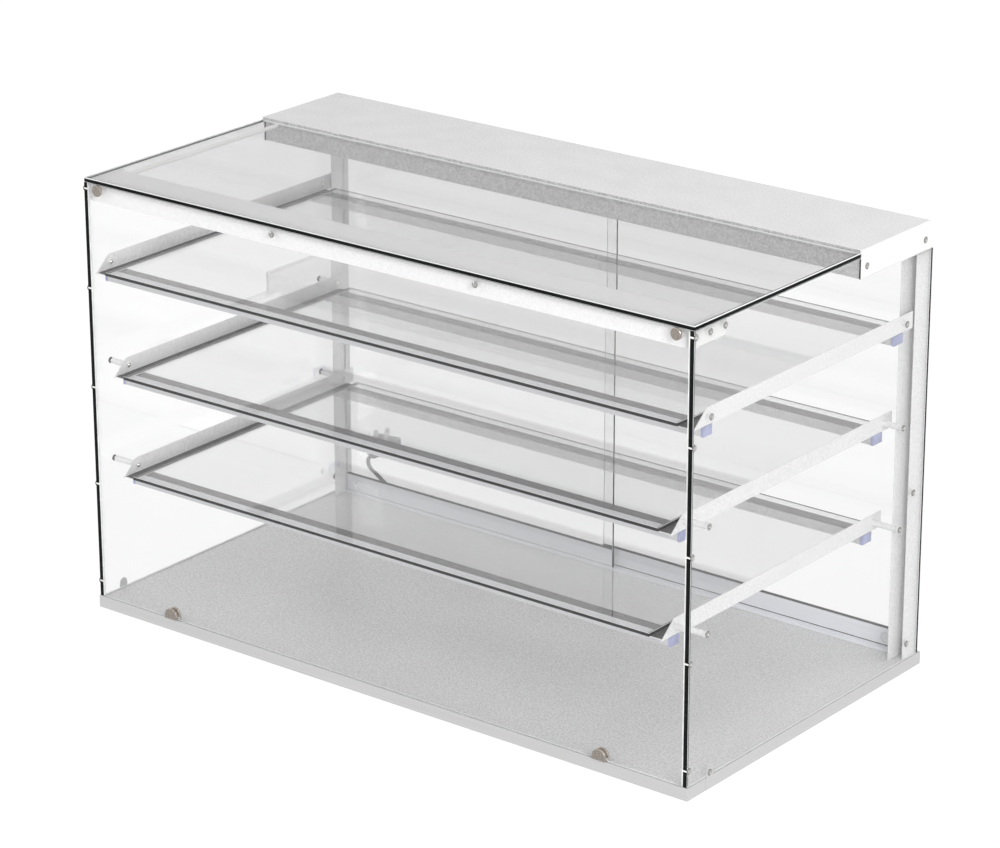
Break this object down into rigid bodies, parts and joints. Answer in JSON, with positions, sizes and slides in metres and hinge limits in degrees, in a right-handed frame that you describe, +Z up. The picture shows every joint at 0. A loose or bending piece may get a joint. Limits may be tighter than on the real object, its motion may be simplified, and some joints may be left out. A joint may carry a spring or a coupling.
{
  "type": "countertop bakery display case",
  "caption": "Countertop glass bakery display case with glass shelves on metal brackets, a lit front beam, a metal header and sliding glass doors on the staff side.",
  "frame": {"origin": "centre of the underside of the base, on the counter", "axes": "+X right as the customer sees it (along the width), +Y towards the staff side with the doors, +Z up"},
  "size_m": [1.3092, 0.8675, 0.7485],
  "materials": {
    "base_metal": "brushed",
    "case_glass": "clear, polished edges",
    "door_glass": "clear, polished edges",
    "shelf_glass": "clear, polished edges",
    "folded_sheet": "light grey fine-textured paint",
    "white_parts": "white satin paint",
    "satin_fittings": "satin nickel",
    "door_rails": "satin anodised",
    "shelf_rails": "satin anodised",
    "diffuser": "frosted white",
    "led_board": "matt white",
    "dark_plastic": "matt",
    "cord_plastic": "satin",
    "sealed_board": "sealed, unpolished"
  },
  "bodies": {
    "root": {"base_core_board": "sealed_board", "floor_pan": "base_metal", "front_skirt": "base_metal", "rear_skirt": "base_metal", "side_skirt_left": "base_metal", "side_skirt_right": "base_metal", "side_glass_left": "case_glass", "side_glass_right": "case_glass", "front_glass": "case_glass", "top_glass": "case_glass", "front_clip_left": "satin_fittings", "front_clip_right": "satin_fittings", "corner_cap_left": "satin_fittings", "corner_cap_right": "satin_fittings", "light_beam": "folded_sheet", "light_diffuser": "diffuser", "led_strip": "led_board", "light_beam_end_left": "white_parts", "light_beam_end_right": "white_parts", "wiring_conduit": "white_parts", "header_end_left": "white_parts", "header_end_right": "white_parts", "header_underpan": "white_parts", "header_canopy": "folded_sheet", "led_driver": "dark_plastic", "rear_post_left": "folded_sheet", "rear_post_right": "folded_sheet", "door_track_bottom": "door_rails", "door_track_top": "door_rails", "shelf_1_glass": "shelf_glass", "shelf_1_bracket_left": "folded_sheet", "shelf_1_bracket_right": "folded_sheet", "shelf_1_front_rail": "shelf_rails", "shelf_1_rear_rail": "shelf_rails", "shelf_2_glass": "shelf_glass", "shelf_2_bracket_left": "folded_sheet", "shelf_2_bracket_right": "folded_sheet", "shelf_2_front_rail": "shelf_rails", "shelf_2_rear_rail": "shelf_rails", "shelf_3_glass": "shelf_glass", "shelf_3_bracket_left": "folded_sheet", "shelf_3_bracket_right": "folded_sheet", "shelf_3_front_rail": "shelf_rails", "shelf_3_rear_rail": "shelf_rails", "cord_gland": "cord_plastic", "cord_lead": "cord_plastic", "cord_hank": "cord_plastic", "cord_run": "cord_plastic", "plug": "cord_plastic"},
    "door_left": {"door_left_glass": "door_glass", "door_left_rail": "door_rails", "door_left_finger_pull": "door_rails"},
    "door_right": {"door_right_glass": "door_glass", "door_right_rail": "door_rails", "door_right_finger_pull": "door_rails"}
  },
  "joints": [
    {"name": "door_left_slide", "type": "slide", "parent": "root", "child": "door_left", "axis": [1, 0, 0], "range_m": [0, 0.555]},
    {"name": "door_right_slide", "type": "slide", "parent": "root", "child": "door_right", "axis": [1, 0, 0], "range_m": [-0.555, 0]}
  ]
}
